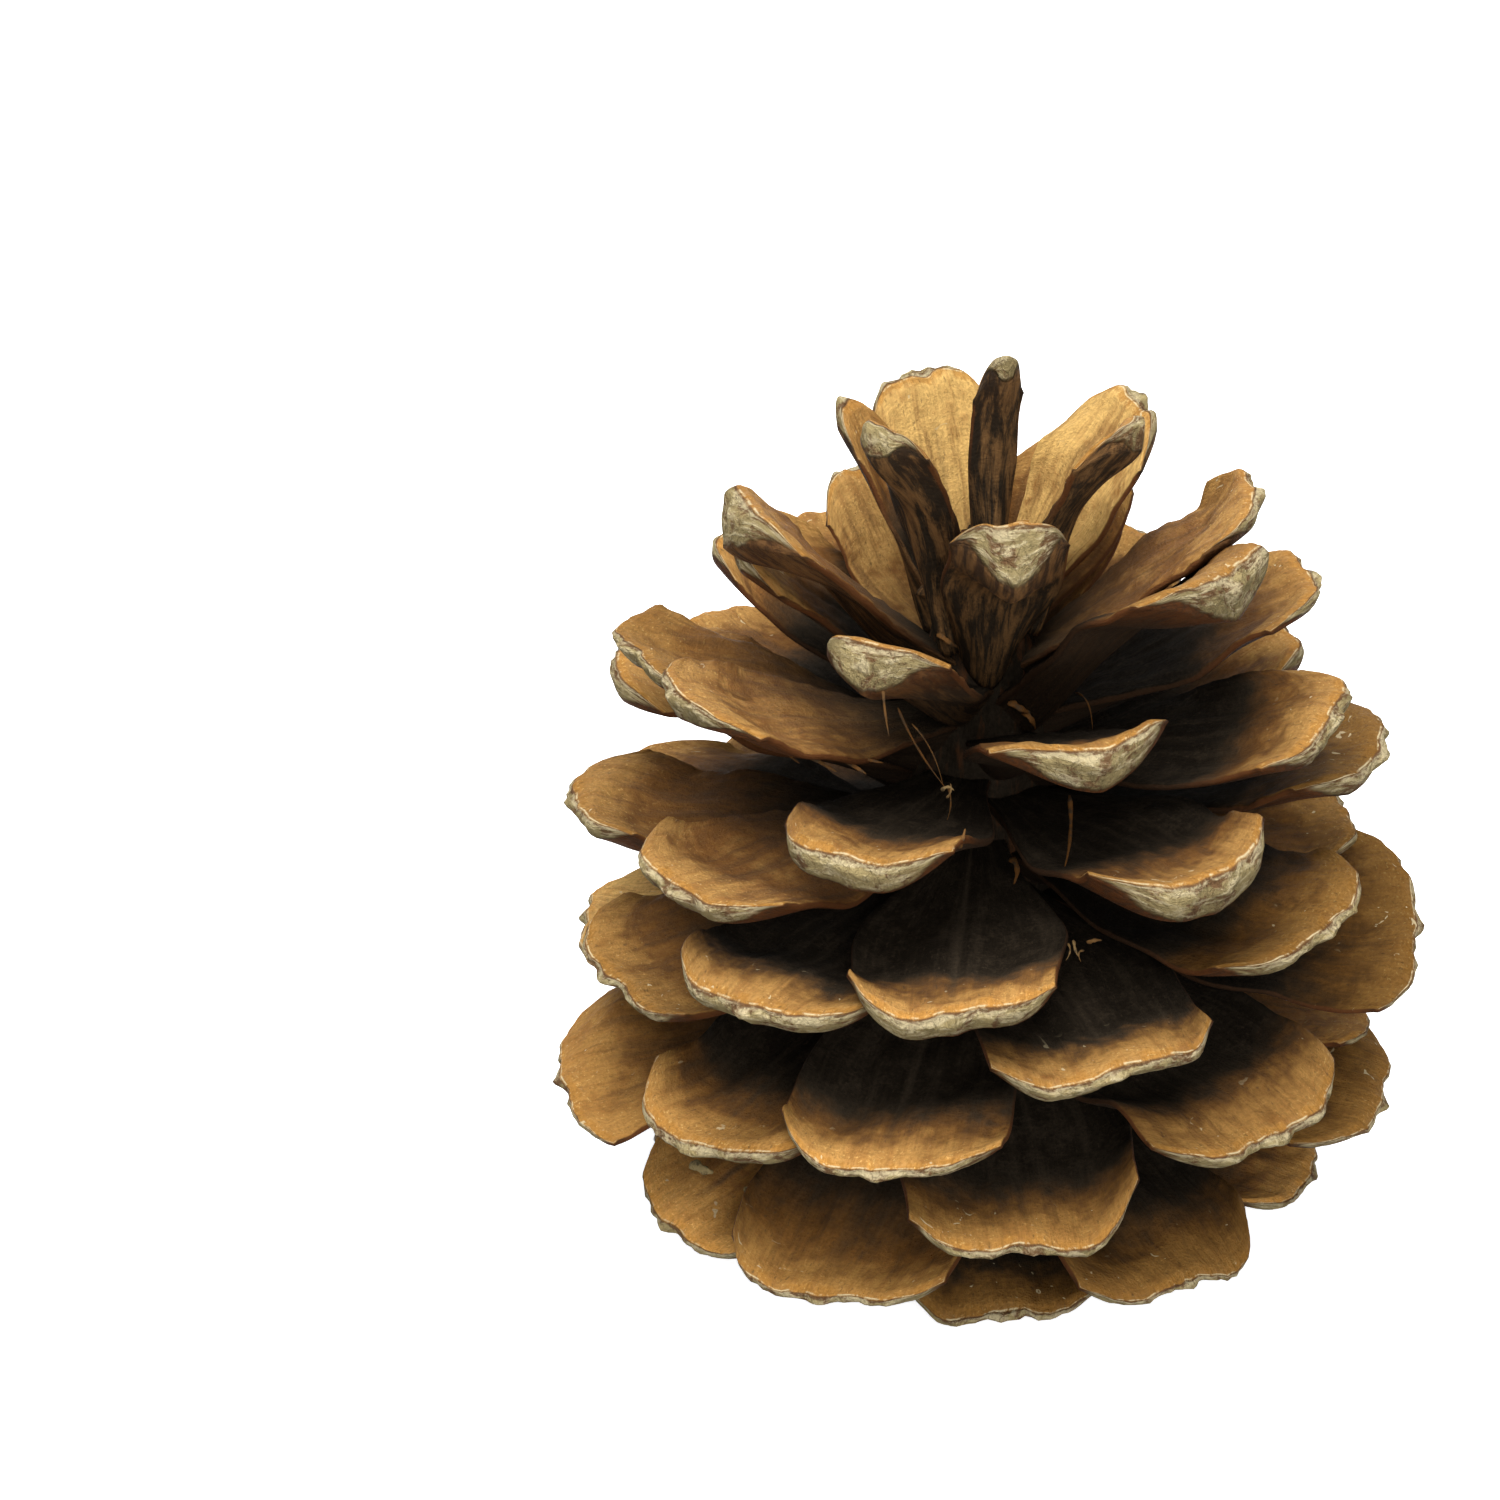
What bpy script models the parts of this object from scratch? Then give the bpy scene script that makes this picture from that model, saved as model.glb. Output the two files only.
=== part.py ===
"""An open Aleppo pine cone that stands on the tips of its lowest scales.

The cone grew as one piece, so it is one solid: a woody axis that carries its
scales on a single golden-angle spiral, counted from the top. Each scale is a
narrow claw that widens to a fan and ends in a thick outer face.

Units are metres and +Z is up. The origin lies under the middle of the cone, on
the surface that it stands on. Angles are degrees. A scale's turn is measured
from -Y towards +X.
"""

import math
import random

import bmesh
import bpy
from mathutils import Matrix, Vector

# Driving dimensions
MM = 0.001
CONE_RADIUS = 34.8 * MM
MIDDLE_HEIGHT = 38.0 * MM
LOWEST_TIP = -37.0 * MM
AXIS_SHIFT = -0.7 * MM
SCALE_COUNT = 74
GOLDEN_ANGLE = 137.508
MIDDLE_SCALE = 35
FRONT_TURN = -2.0
SEED = 2011
FIRST_RESTING_SCALE = 70

# The axis inside the scales, as heights above the middle scale and radii
AXIS_PROFILE = (
    (-33.0 * MM, 3.4 * MM),
    (-29.0 * MM, 4.6 * MM),
    (-23.0 * MM, 6.6 * MM),
    (-8.0 * MM, 6.4 * MM),
    (6.0 * MM, 5.2 * MM),
    (15.0 * MM, 3.6 * MM),
    (21.0 * MM, 1.6 * MM),
)
AXIS_SIDES = 10
ROOT_DEPTH = 0.5

# One scale, seen as stations along it from the claw to the front edge
STATIONS = (0.0, 0.34, 0.66, 1.0)
STRIPS_ACROSS = 6
NARROW_STRIPS = 4
LAST_NARROW_SCALE = 15
CLAW_HALF_WIDTH = 2.3 * MM
EDGE_THICKNESS = 0.65 * MM
CORNER_SETBACK = 4.2 * MM
CORNER_LIFT = 0.5 * MM
FACE_SLOPE = 1.3 * MM

# Scales that grew away from the rule: turn and roll in degrees, reach and lift in
# millimetres, and breadth as a multiple of the rule's width
STRAY_SCALES = {
    0: (0, 0, 0.0, -19.0, 0.9),
    1: (8, 0, 0.5, 1.5, 0.6),
    2: (0, 0, 0.0, -16.5, 0.9),
    3: (0, 0, -6.0, -13.0, 0.6),
    4: (4, 0, 1.5, -0.5, 0.75),
    5: (9, 0, 0.0, -3.5, 1.6),
    6: (-8, 0, 0.0, 3.5, 0.75),
    7: (11, 0, -1.8, -1.2, 1.4),
    8: (-9, 0, -4.0, -1.0, 0.6),
    9: (-18, -4, -0.5, 1.0, 1.0),
    10: (-8, 0, 0.0, -6.5, 1.2),
    11: (-6, 0, 0.0, 0.5, 1.15),
    12: (4, 0, 0.0, 0.5, 1.35),
    13: (-8, 0, -1.0, -7.0, 1.0),
    14: (-13, -4, 1.0, -1.5, 1.0),
    15: (22, 0, -3.5, -4.0, 0.8),
    16: (6, 0, -5.5, -1.0, 0.9),
    17: (4, 0, -1.0, 6.0, 1.2),
    18: (0, 0, -1.0, -5.5, 1.0),
    19: (-12, -10, 2.5, -2.5, 1.1),
    20: (-1, 0, -1.5, -0.5, 1.1),
    21: (0, 0, -3.5, -1.0, 0.9),
    22: (5, 2, -0.5, 1.5, 1.0),
    23: (0, 0, -2.5, -3.0, 1.0),
    24: (-2, 0, -1.0, 2.0, 1.1),
    25: (0, 12, 0.0, 0.5, 1.0),
    27: (1, 1, 0.0, -1.0, 1.0),
    28: (0, 0, -4.0, -0.5, 0.9),
    29: (0, 0, -2.0, 0.0, 1.0),
    30: (0, 5, 0.5, 0.5, 1.0),
    32: (7, -2, 0.0, -1.5, 1.0),
    33: (-6, 0, -1.0, 3.5, 1.0),
    35: (-4, 6, 1.0, -2.5, 1.0),
    37: (0, 0, -1.5, 0.5, 0.9),
    38: (0, 9, 0.0, 1.0, 1.0),
    40: (1, 1, -0.5, 0.5, 1.0),
    41: (0, 4, -3.5, 0.5, 0.95),
    43: (-2, 5, 0.0, 1.0, 1.0),
    45: (0, -3, -2.0, 0.0, 1.0),
    46: (13, 18, 1.3, 0.5, 1.1),
    48: (0, 3, 0.5, -1.5, 0.95),
    49: (0, 3, -4.0, 0.0, 0.95),
    50: (0, 0, -2.0, 0.0, 1.0),
    51: (3, 6, 0.5, 0.5, 1.0),
    53: (4, 4, -0.5, 0.5, 1.0),
    54: (0, 2, -1.5, 0.0, 1.0),
    56: (0, -1, 0.5, -0.5, 1.0),
    58: (0, -7, 1.5, 0.5, 1.05),
    59: (16, 7, 1.6, 1.0, 1.0),
    61: (3, 5, 0.5, -2.4, 1.0),
    64: (7, -5, 0.0, -1.0, 0.95),
    66: (0, 0, -1.0, 0.0, 1.0),
    67: (0, 2, -0.8, 0.0, 1.0),
    69: (11, 0, -2.0, 1.4, 0.88),
}

# Outer faces that grew thinner or thicker than the rule, as multiples of its height
FACE_SHARES = {
    1: 0.7, 2: 0.6, 4: 0.7, 5: 0.6, 6: 0.7, 7: 0.5, 8: 0.6, 10: 0.6, 11: 0.85, 12: 0.45,
    13: 0.6, 14: 0.85, 15: 0.6, 16: 0.6, 19: 0.5, 20: 0.5, 24: 0.5, 25: 0.8, 30: 1.3, 32: 0.75,
    40: 1.1, 43: 1.2, 51: 1.3, 53: 1.3, 56: 1.2,
}


def share(index):
    """How far down the cone a scale sits: -1 at the top, 0 in the middle, 1 near the base."""
    return (index - MIDDLE_SCALE) / MIDDLE_SCALE


def tip_radius(index):
    """Distance of a scale's tip from the axis: widest low down, drawn in at both ends."""
    t = share(index)
    fullest = CONE_RADIUS * (0.963 + 0.239 * t - 0.384 * t * t)
    young = 1.0 - math.exp(-(index + 1.0) / 4.5)
    basal = 1.0 - 0.05 * max(0.0, index - FIRST_RESTING_SCALE)
    return fullest * young * basal


def tip_height(index):
    """Height of a scale's tip above the middle scale's, held level for the scales it stands on."""
    t = share(index)
    return max((2.8 * t ** 3 - 40.7 * t) * MM, LOWEST_TIP)


def root_height(index):
    """Height on the axis where a scale grows out."""
    return (-3.5 - 20.5 * share(index)) * MM


def tip_pitch(index):
    """Upward slope of a scale near its tip: steep at the top, drooping at the base."""
    t = share(index)
    return 13.0 - 42.0 * t + 14.0 * t * t


def fan_half_width(index):
    """Half the width of a scale's fan: narrow sticks at the top, broad fans from the middle down."""
    t = share(index)
    return (8.1 + 3.4 * t - 2.0 * t * t) * MM


def face_height(index):
    """Thickness of a scale's outer face in the middle of the front edge."""
    t = share(index)
    return (2.5 - 2.5 * t + 1.8 * t * t) * MM


def face_fullness(index):
    """Power that says how squarely an outer face ends: pointed at the top, blunt from the middle down."""
    return 1.6 + 2.8 * smooth((share(index) + 0.55) / 0.6)


def axis_radius(height):
    """Radius of the axis at a height, between the points of its profile."""
    for (low, wide), (high, narrow) in zip(AXIS_PROFILE, AXIS_PROFILE[1:]):
        if height <= high:
            step = max(0.0, (height - low) / (high - low))
            return wide + (narrow - wide) * step
    return AXIS_PROFILE[-1][1]


def smooth(value):
    """An S-shaped step from 0 to 1."""
    value = min(1.0, max(0.0, value))
    return value * value * (3.0 - 2.0 * value)


class Scale:
    """The path and frame of one scale, which its mesh is carried along."""

    def __init__(self, index):
        draw = random.Random(SEED + index)
        self.strips = NARROW_STRIPS if index <= LAST_NARROW_SCALE else STRIPS_ACROSS
        chance = (
            draw.uniform(-2.5, 2.5),
            draw.uniform(-3.0, 7.0),
            draw.uniform(-0.5, 0.5),
            draw.uniform(-0.6, 0.6),
            draw.uniform(0.95, 1.05),
        )
        turn, roll, reach, lift, breadth = STRAY_SCALES.get(index, chance)
        if index >= FIRST_RESTING_SCALE:
            lift = 0.0
        pitch = draw.uniform(-3.0, 3.0)
        self.width = fan_half_width(index) * breadth
        face = face_height(index) * draw.uniform(0.9, 1.1)
        self.face = FACE_SHARES.get(index, 1.0) * min(face, 1.35 * self.width)
        self.fullness = face_fullness(index)
        self.roll = math.radians(roll)
        angle = math.radians(FRONT_TURN + GOLDEN_ANGLE * (index - MIDDLE_SCALE) + turn)
        self.outward = Vector((math.sin(angle), -math.cos(angle), 0.0))
        self.sideways = Vector((math.cos(angle), math.sin(angle), 0.0))
        slope = math.radians(tip_pitch(index) + pitch)
        height = root_height(index)
        self.root = self.place(axis_radius(height) * ROOT_DEPTH, height)
        self.tip = self.place(tip_radius(index) + reach * MM, tip_height(index) + lift * MM)
        run = 0.5 * (self.tip - self.root).length
        self.bend = self.tip - run * (self.outward * math.cos(slope) + Vector((0.0, 0.0, math.sin(slope))))
        self.length = (self.bend - self.root).length + run

    def place(self, radius, height):
        """A point at this scale's turn."""
        return self.outward * radius + Vector((0.0, 0.0, height))

    def frame(self, along):
        """Point, direction, sideways and upper-face normal at a share of the scale's length."""
        back = 1.0 - along
        point = back * back * self.root + 2.0 * back * along * self.bend + along * along * self.tip
        direction = (back * (self.bend - self.root) + along * (self.tip - self.bend)).normalized()
        turned = Matrix.Rotation(self.roll * smooth(along / 0.6), 3, direction)
        sideways = turned @ self.sideways
        return point, direction, sideways, direction.cross(sideways)

    def half_width(self, along):
        """Half-width of the blade at a share of its length."""
        claw = CLAW_HALF_WIDTH * min(1.0, self.width / (4.0 * MM))
        return claw + (self.width - claw) * smooth(along / 0.64)

    def thickness(self, along, across):
        """Blade thickness: a stout claw, a thin fan and a thick front, all thinner at the margins."""
        claw = 2.4 * MM * (1.0 - smooth(along / 0.6))
        front = (self.face - 1.3 * MM) * smooth((along - 0.55) / 0.45)
        middle = 1.3 * MM + claw + front
        power = 1.8 + (self.fullness - 1.8) * smooth((along - 0.5) / 0.4)
        return EDGE_THICKNESS + (middle - EDGE_THICKNESS) * (1.0 - abs(across) ** power)

    def point(self, along, across, lower):
        """A point of the upper or the lower face."""
        setback = CORNER_SETBACK * abs(across) ** 4 * along ** 3 / self.length
        point, direction, sideways, up = self.frame(along - setback)
        lift = CORNER_LIFT * across * across * smooth(along)
        point = point + sideways * (across * self.half_width(along)) + up * lift
        if lower:
            front = smooth((along - 0.7) / 0.3) * (1.0 - across * across)
            point = point - up * self.thickness(along, across) - direction * (FACE_SLOPE * front)
        return point

    def mesh(self):
        """A closed sleeve of rings from the claw to the front edge, capped at both ends."""
        points = []
        for along in STATIONS:
            for lower in (False, True):
                for step in range(self.strips + 1):
                    across = 2.0 * step / self.strips - 1.0
                    points.append(self.point(along, across, lower))
        row = self.strips + 1
        faces = []
        for station in range(len(STATIONS) - 1):
            upper = station * 2 * row
            lower = upper + row
            for step in range(self.strips):
                a, b = upper + step, upper + step + 1
                faces += [(a, b, b + 2 * row), (a, b + 2 * row, a + 2 * row)]
                a, b = lower + step, lower + step + 1
                faces += [(a, b + 2 * row, b), (a, a + 2 * row, b + 2 * row)]
            for a, b in ((lower, upper), (upper + self.strips, lower + self.strips)):
                faces += [(a, b, b + 2 * row), (a, b + 2 * row, a + 2 * row)]
        front = (len(STATIONS) - 1) * 2 * row
        for step in range(self.strips):
            a, b = step, step + 1
            faces += [(a, a + row, b + row), (a, b + row, b)]
            a, b = front + step, front + step + 1
            faces += [(a, b + row, a + row), (a, b, b + row)]
        mesh = bpy.data.meshes.new("scale")
        mesh.from_pydata(points, [], faces)
        return mesh


def clear_scene():
    """Removes every object that the file opens with."""
    for old in list(bpy.data.objects):
        bpy.data.objects.remove(old, do_unlink=True)


def wood_material():
    """Weathered golden-brown wood."""
    material = bpy.data.materials.new("weathered_cone_wood")
    material.use_nodes = True
    shader = material.node_tree.nodes["Principled BSDF"]
    shader.inputs["Base Color"].default_value = (0.26, 0.14, 0.05, 1.0)
    shader.inputs["Roughness"].default_value = 0.62
    shader.inputs["Metallic"].default_value = 0.0
    return material


def outward_faces(mesh):
    """Turns a closed mesh's faces outwards."""
    work = bmesh.new()
    work.from_mesh(mesh)
    bmesh.ops.recalc_face_normals(work, faces=work.faces)
    work.to_mesh(mesh)
    work.free()


def axis_object():
    """The woody axis: a turned profile with closed ends."""
    work = bmesh.new()
    rings = []
    for height, radius in AXIS_PROFILE:
        circle = bmesh.ops.create_circle(work, segments=AXIS_SIDES, radius=radius)
        bmesh.ops.translate(work, verts=circle["verts"], vec=(0.0, 0.0, height))
        rings.append(circle["verts"])
    for lower, upper in zip(rings, rings[1:]):
        for side in range(AXIS_SIDES):
            after = (side + 1) % AXIS_SIDES
            work.faces.new((lower[side], lower[after], upper[after], upper[side]))
    work.faces.new(rings[0][::-1])
    work.faces.new(rings[-1])
    bmesh.ops.triangulate(work, faces=work.faces)
    mesh = bpy.data.meshes.new("axis")
    work.to_mesh(mesh)
    work.free()
    outward_faces(mesh)
    return bpy.data.objects.new("pine_cone", mesh)


def join_scales(cone):
    """Fuses every scale to the axis with one Boolean union, then drops the loose scales."""
    scales = bpy.data.collections.new("scales")
    bpy.context.scene.collection.children.link(scales)
    for index in range(SCALE_COUNT):
        mesh = Scale(index).mesh()
        outward_faces(mesh)
        scales.objects.link(bpy.data.objects.new(f"scale_{index:02d}", mesh))
    union = cone.modifiers.new("scales", "BOOLEAN")
    union.operand_type = "COLLECTION"
    union.collection = scales
    union.operation = "UNION"
    union.solver = "MANIFOLD"
    apply_modifiers(cone)
    for scale in list(scales.objects):
        bpy.data.objects.remove(scale, do_unlink=True)
    bpy.data.collections.remove(scales)


def apply_modifiers(target):
    """Replaces an object's mesh with its evaluated mesh."""
    graph = bpy.context.evaluated_depsgraph_get()
    mesh = bpy.data.meshes.new_from_object(target.evaluated_get(graph))
    target.modifiers.clear()
    target.data = mesh


def keep_outer_shell(mesh):
    """Keeps the largest shell, so that pockets sealed between the claws are filled."""
    work = bmesh.new()
    work.from_mesh(mesh)
    left = set(work.verts)
    shells = []
    while left:
        shell = {left.pop()}
        edge = list(shell)
        while edge:
            for link in edge.pop().link_edges:
                for vert in link.verts:
                    if vert in left:
                        left.remove(vert)
                        shell.add(vert)
                        edge.append(vert)
        shells.append(shell)
    shells.sort(key=len)
    for shell in shells[:-1]:
        bmesh.ops.delete(work, geom=list(shell), context="VERTS")
    work.to_mesh(mesh)
    work.free()


def stand_on_tips(cone):
    """Lifts the cone by the height of its middle scale and cuts the lowest tips level at the floor."""
    work = bmesh.new()
    work.from_mesh(cone.data)
    bmesh.ops.translate(work, verts=work.verts, vec=(AXIS_SHIFT, 0.0, MIDDLE_HEIGHT))
    geometry = list(work.verts) + list(work.edges) + list(work.faces)
    cut = bmesh.ops.bisect_plane(
        work, geom=geometry, plane_co=(0.0, 0.0, 0.0), plane_no=(0.0, 0.0, -1.0), clear_outer=True
    )
    rims = [item for item in cut["geom_cut"] if isinstance(item, bmesh.types.BMEdge)]
    bmesh.ops.edgeloop_fill(work, edges=rims)
    bmesh.ops.triangulate(work, faces=work.faces)
    work.to_mesh(cone.data)
    work.free()


def build_cone():
    """The whole cone as one named object."""
    cone = axis_object()
    bpy.context.scene.collection.objects.link(cone)
    join_scales(cone)
    keep_outer_shell(cone.data)
    stand_on_tips(cone)
    cone.data.materials.clear()
    cone.data.materials.append(wood_material())
    cone.data.shade_smooth()
    cone.data.set_sharp_from_angle(angle=math.radians(40.0))


clear_scene()
build_cone()
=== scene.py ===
"""The looks of an open Aleppo pine cone, laid out as a Blender add-on.

The cone is one woody axis that carries its scales on a single golden-angle
spiral, counted from the top. Every scale is a closed blade: a narrow claw that
widens to a fan and ends in a thick outer face with a small button on it.

Lengths are in metres and +Z is up. A scale's turn is measured from -Y towards
+X, and along runs from 0 at its root to 1 at its front edge, across from -1 to
1 between its margins, and turned from 0 on its upper side to 1 on its lower.
"""

import math
import random

import bpy
import numpy as np
from bpy.props import FloatProperty, FloatVectorProperty, PointerProperty
from mathutils import Matrix, Vector


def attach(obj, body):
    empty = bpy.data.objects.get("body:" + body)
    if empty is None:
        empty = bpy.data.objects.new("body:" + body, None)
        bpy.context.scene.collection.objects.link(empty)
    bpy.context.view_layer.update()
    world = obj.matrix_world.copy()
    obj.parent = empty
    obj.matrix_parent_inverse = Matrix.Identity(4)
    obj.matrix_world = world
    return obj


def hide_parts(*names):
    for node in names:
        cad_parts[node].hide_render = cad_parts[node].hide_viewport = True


bl_info = {
    "name": "Open pine cone",
    "version": (1, 0, 0),
    "blender": (4, 5, 0),
    "location": "3D View > Sidebar > Pine Cone",
    "description": "Builds an open pine cone with weathered scales, and a studio stage for it",
    "category": "Add Mesh",
}

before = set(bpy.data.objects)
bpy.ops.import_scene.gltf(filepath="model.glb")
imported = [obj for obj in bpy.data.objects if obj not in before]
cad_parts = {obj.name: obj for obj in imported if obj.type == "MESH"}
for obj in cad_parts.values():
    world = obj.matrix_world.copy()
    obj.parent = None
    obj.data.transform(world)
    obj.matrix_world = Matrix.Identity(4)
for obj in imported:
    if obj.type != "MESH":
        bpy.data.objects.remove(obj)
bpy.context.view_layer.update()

MM = 0.001

# The rule of growth, the same as the solid cone's
CONE_RADIUS = 34.8 * MM
MIDDLE_HEIGHT = 38.0 * MM
LOWEST_TIP = -37.0 * MM
AXIS_SHIFT = -0.7 * MM
SCALE_COUNT = 74
GOLDEN_ANGLE = 137.508
MIDDLE_SCALE = 35
FRONT_TURN = -2.0
SEED = 2011
FIRST_RESTING_SCALE = 70

# The axis inside the scales, as heights above the middle scale and radii
AXIS_HEIGHTS = (-33.0 * MM, -29.0 * MM, -23.0 * MM, -8.0 * MM, 6.0 * MM, 15.0 * MM, 21.0 * MM)
AXIS_RADII = (3.4 * MM, 4.6 * MM, 6.6 * MM, 6.4 * MM, 5.2 * MM, 3.6 * MM, 1.6 * MM)
AXIS_RIDGE = 0.25 * MM
ROOT_DEPTH = 0.5

# One scale: half-widths, thicknesses and the heights of its relief
CLAW_HALF_WIDTH = 2.3 * MM
NARROW_HALF_WIDTH = 4.0 * MM
BROAD_HALF_WIDTH = 8.0 * MM
EDGE_THICKNESS = 0.65 * MM
BLADE_THICKNESS = 1.3 * MM
CLAW_SWELL = 2.4 * MM
CORNER_SETBACK = 4.2 * MM
CORNER_LIFT = 0.5 * MM
SEED_BED_DEPTH = 0.36 * MM
KEEL_HEIGHT = 0.22 * MM
LIP_WEAR = 0.30 * MM
LIP_LENGTH = 0.7 * MM
MARGIN_BULGE = 0.24 * MM
FINE_RELIEF = 0.08 * MM

# Its outer face, which shows its whole relief from FULL_FACE up
FACE_SLOPE = 1.3 * MM
FULL_FACE = 2.4 * MM
RIDGE_HEIGHT = 0.30 * MM
BUTTON_HALF_WIDTH = 1.15 * MM
BUTTON_HALF_HEIGHT = 0.75 * MM
BARK_RELIEF = 0.10 * MM

# Wavelengths of the relief
NIBBLE_WAVES = (2.3 * MM, 1.5 * MM, 1.0 * MM)
WARP_WAVES = (19.0 * MM, 13.0 * MM, 9.0 * MM)
FINE_WAVES = (4.1 * MM, 2.9 * MM, 2.2 * MM, 1.7 * MM)
BARK_WAVES = (2.6 * MM, 1.9 * MM, 1.3 * MM, 1.0 * MM)

# Added to a scale's number, so that draws for different things differ
FINE_DRAWS = 90
BARK_DRAWS = 300
EDGE_DRAWS = 500
NIBBLE_DRAWS = 700
TINT_DRAWS = 900

# The first scale of each piece after the crown's; the middle piece starts at MIDDLE_SCALE
FIRST_UPPER_SCALE = 16
FIRST_LOWER_SCALE = 55

# Scales that grew away from the rule: turn and roll in degrees, reach and lift in
# millimetres, and breadth as a multiple of the rule's width. The first values came from a
# fit to points that were read off the photograph, and were rounded and changed.
STRAY_SCALES = {
    0: (0, 0, 0.0, -19.0, 0.9),
    1: (8, 0, 0.5, 1.5, 0.6),
    2: (0, 0, 0.0, -16.5, 0.9),
    3: (0, 0, -6.0, -13.0, 0.6),
    4: (4, 0, 1.5, -0.5, 0.75),
    5: (9, 0, 0.0, -3.5, 1.6),
    6: (-8, 0, 0.0, 3.5, 0.75),
    7: (11, 0, -1.8, -1.2, 1.4),
    8: (-9, 0, -4.0, -1.0, 0.6),
    9: (-18, -4, -0.5, 1.0, 1.0),
    10: (-8, 0, 0.0, -6.5, 1.2),
    11: (-6, 0, 0.0, 0.5, 1.15),
    12: (4, 0, 0.0, 0.5, 1.35),
    13: (-8, 0, -1.0, -7.0, 1.0),
    14: (-13, -4, 1.0, -1.5, 1.0),
    15: (22, 0, -3.5, -4.0, 0.8),
    16: (6, 0, -5.5, -1.0, 0.9),
    17: (4, 0, -1.0, 6.0, 1.2),
    18: (0, 0, -1.0, -5.5, 1.0),
    19: (-12, -10, 2.5, -2.5, 1.1),
    20: (-1, 0, -1.5, -0.5, 1.1),
    21: (0, 0, -3.5, -1.0, 0.9),
    22: (5, 2, -0.5, 1.5, 1.0),
    23: (0, 0, -2.5, -3.0, 1.0),
    24: (-2, 0, -1.0, 2.0, 1.1),
    25: (0, 12, 0.0, 0.5, 1.0),
    27: (1, 1, 0.0, -1.0, 1.0),
    28: (0, 0, -4.0, -0.5, 0.9),
    29: (0, 0, -2.0, 0.0, 1.0),
    30: (0, 5, 0.5, 0.5, 1.0),
    32: (7, -2, 0.0, -1.5, 1.0),
    33: (-6, 0, -1.0, 3.5, 1.0),
    35: (-4, 6, 1.0, -2.5, 1.0),
    37: (0, 0, -1.5, 0.5, 0.9),
    38: (0, 9, 0.0, 1.0, 1.0),
    40: (1, 1, -0.5, 0.5, 1.0),
    41: (0, 4, -3.5, 0.5, 0.95),
    43: (-2, 5, 0.0, 1.0, 1.0),
    45: (0, -3, -2.0, 0.0, 1.0),
    46: (13, 18, 1.3, 0.5, 1.1),
    48: (0, 3, 0.5, -1.5, 0.95),
    49: (0, 3, -4.0, 0.0, 0.95),
    50: (0, 0, -2.0, 0.0, 1.0),
    51: (3, 6, 0.5, 0.5, 1.0),
    53: (4, 4, -0.5, 0.5, 1.0),
    54: (0, 2, -1.5, 0.0, 1.0),
    56: (0, -1, 0.5, -0.5, 1.0),
    58: (0, -7, 1.5, 0.5, 1.05),
    59: (16, 7, 1.6, 1.0, 1.0),
    61: (3, 5, 0.5, -2.4, 1.0),
    64: (7, -5, 0.0, -1.0, 0.95),
    66: (0, 0, -1.0, 0.0, 1.0),
    67: (0, 2, -0.8, 0.0, 1.0),
    69: (11, 0, -2.0, 1.4, 0.88),
}

# Outer faces that grew thinner or thicker than the rule, as multiples of its height
FACE_SHARES = {
    1: 0.7, 2: 0.6, 4: 0.7, 5: 0.6, 6: 0.7, 7: 0.5, 8: 0.6, 10: 0.6, 11: 0.85, 12: 0.45,
    13: 0.6, 14: 0.85, 15: 0.6, 16: 0.6, 19: 0.5, 20: 0.5, 24: 0.5, 25: 0.8, 30: 1.3, 32: 0.75,
    40: 1.1, 43: 1.2, 51: 1.3, 53: 1.3, 56: 1.2,
}

# How far in the painted light on the upper side of a scale reaches before its painted shade,
# as a multiple of the usual depth, and how much lighter or darker the whole scale is painted
# for the light that falls on it, both set after the render's colours were compared with the
# photograph's
SCALE_TINTS = {
    5: (3.0, 1.0), 7: (3.0, 1.0), 10: (2.0, 1.0), 11: (2.0, 1.0), 12: (2.2, 1.0),
    13: (2.6, 1.0), 15: (2.0, 1.0), 17: (0.8, 0.85), 18: (2.0, 1.0), 19: (2.3, 1.0),
    24: (2.0, 0.7), 25: (0.85, 1.0), 27: (0.75, 1.0), 29: (2.0, 1.0), 30: (0.8, 1.0),
    32: (2.0, 1.0), 33: (0.9, 0.5), 35: (0.65, 1.25), 37: (1.8, 0.8), 38: (0.9, 0.55),
    40: (0.5, 1.0), 41: (1.3, 0.7), 43: (0.5, 1.0), 45: (1.4, 0.8), 46: (1.0, 0.5),
    48: (0.8, 1.25), 50: (3.0, 1.25), 51: (0.8, 0.9), 54: (1.6, 1.1), 56: (0.85, 1.0),
    58: (2.2, 1.0), 59: (0.9, 0.65), 61: (1.5, 1.0), 64: (1.0, 0.7), 66: (2.4, 1.5),
    67: (1.0, 1.4), 69: (0.6, 0.65), 72: (1.0, 0.7),
}

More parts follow.
